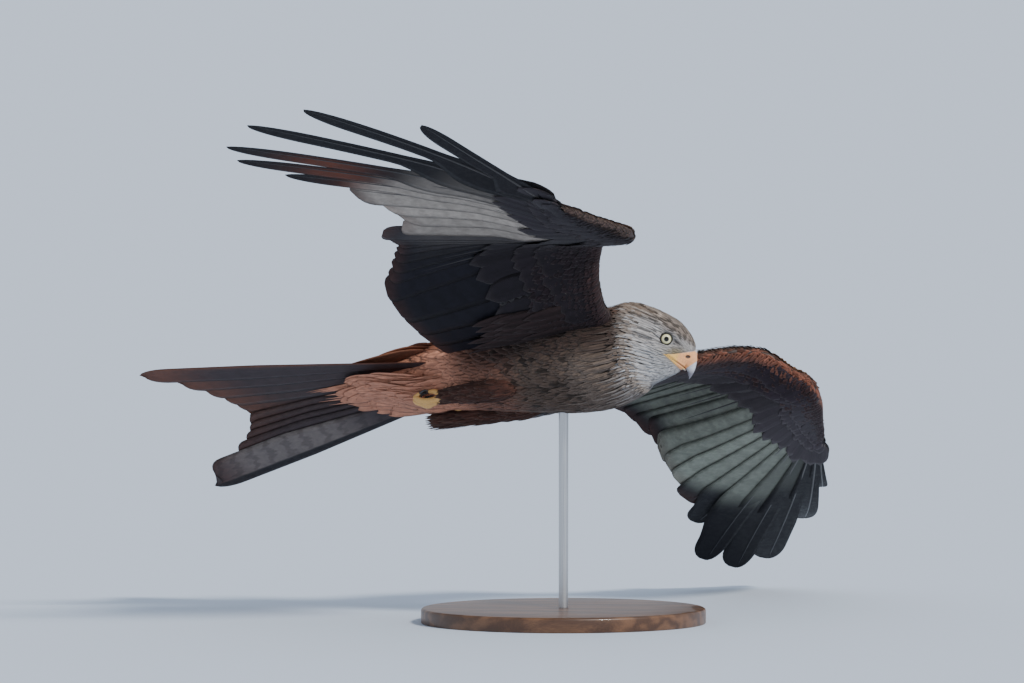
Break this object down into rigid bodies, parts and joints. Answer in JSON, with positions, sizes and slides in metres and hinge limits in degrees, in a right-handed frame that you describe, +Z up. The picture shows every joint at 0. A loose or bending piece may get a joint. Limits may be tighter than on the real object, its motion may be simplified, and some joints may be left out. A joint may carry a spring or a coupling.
{
  "type": "red kite bird",
  "caption": "life-size still model of a red kite banking in flight, wings arched, forked tail spread, feet tucked, held on a rod over a round base",
  "frame": {"origin": "middle of the underside of the round base, which rests on the floor", "axes": "+Z up; the bird heads towards +X and a little towards -Y, its right wing reaches to -Y and up, its left wing to +Y and down"},
  "size_m": [0.7382, 1.0274, 0.5586],
  "materials": {
    "torso": "rufous feathers",
    "neck": "pale buff and grey streaked feathers",
    "head": "pale grey streaked feathers",
    "bill_upper": "yellow cere and pale horn bill with a dark tip",
    "bill_lower": "yellow and pale horn",
    "eye_left": "wet eye with a pale yellow iris",
    "eye_right": "wet eye with a pale yellow iris",
    "tail": "rufous and grey-brown tail feathers",
    "wing_left_arm": "dark and rufous wing feathers",
    "wing_left_hand": "dark primaries with a pale window",
    "wing_right_arm": "dark and rufous wing feathers",
    "wing_right_hand": "dark primaries with a pale window",
    "thigh_left": "rufous feathers",
    "thigh_right": "rufous feathers",
    "foot_left": "yellow scaled skin, dark claws",
    "foot_right": "yellow scaled skin, dark claws",
    "stand_base": "dark oiled wood",
    "stand_rod": "brushed"
  },
  "bodies": {
    "root": {"torso": "torso", "neck": "neck", "head": "head", "bill_upper": "bill_upper", "bill_lower": "bill_lower", "eye_left": "eye_left", "eye_right": "eye_right", "tail": "tail", "wing_left_arm": "wing_left_arm", "wing_left_hand": "wing_left_hand", "wing_right_arm": "wing_right_arm", "wing_right_hand": "wing_right_hand", "thigh_left": "thigh_left", "thigh_right": "thigh_right", "foot_left": "foot_left", "foot_right": "foot_right", "stand_base": "stand_base", "stand_rod": "stand_rod"}
  },
  "joints": []
}
